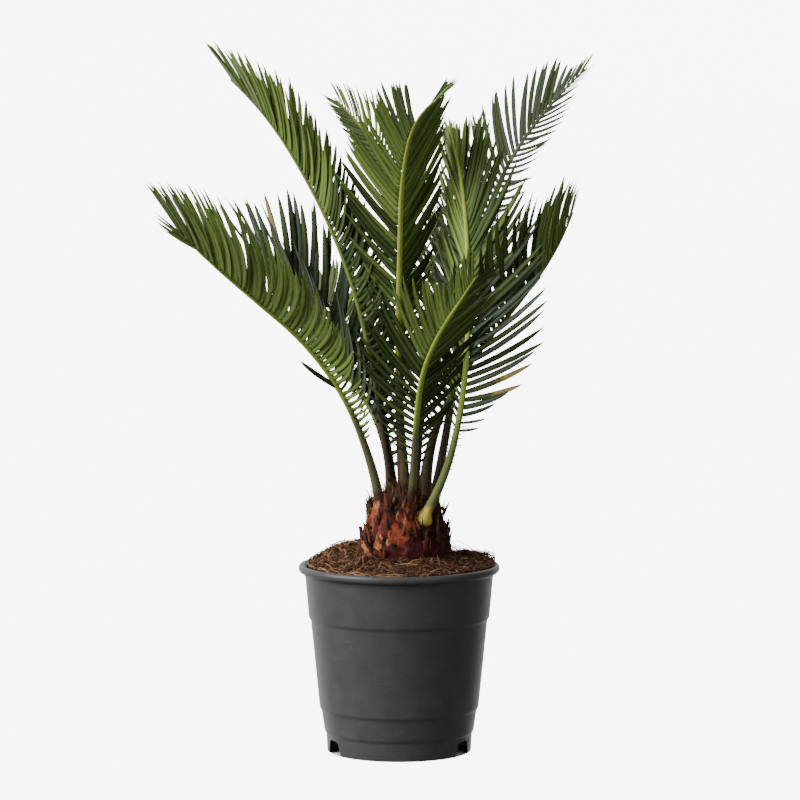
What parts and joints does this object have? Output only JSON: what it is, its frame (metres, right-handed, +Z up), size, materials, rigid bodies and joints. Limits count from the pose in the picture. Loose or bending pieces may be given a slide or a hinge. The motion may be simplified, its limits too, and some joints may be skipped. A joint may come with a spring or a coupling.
{
  "type": "potted sago palm",
  "caption": "Young sago palm: feather-shaped fronds rising from a short scaly trunk, in a round tapered nursery pot filled with coir mix.",
  "frame": {"origin": "centre of the pot's flat underside", "axes": "+Z up along the pot's axis, -Y towards the viewer of the front, +X to that viewer's right"},
  "size_m": [0.3805, 0.4493, 0.5962],
  "materials": {
    "pot_plastic": "satin",
    "coir_mix": "matte",
    "trunk_bark": "matte",
    "frond_leaf": "satin"
  },
  "bodies": {
    "root": {"pot": "pot_plastic", "soil": "coir_mix", "trunk": "trunk_bark", "frond_01": "frond_leaf", "frond_02": "frond_leaf", "frond_03": "frond_leaf", "frond_04": "frond_leaf", "frond_05": "frond_leaf", "frond_06": "frond_leaf", "frond_07": "frond_leaf", "frond_08": "frond_leaf", "frond_09": "frond_leaf", "frond_10": "frond_leaf", "frond_11": "frond_leaf"}
  },
  "joints": []
}
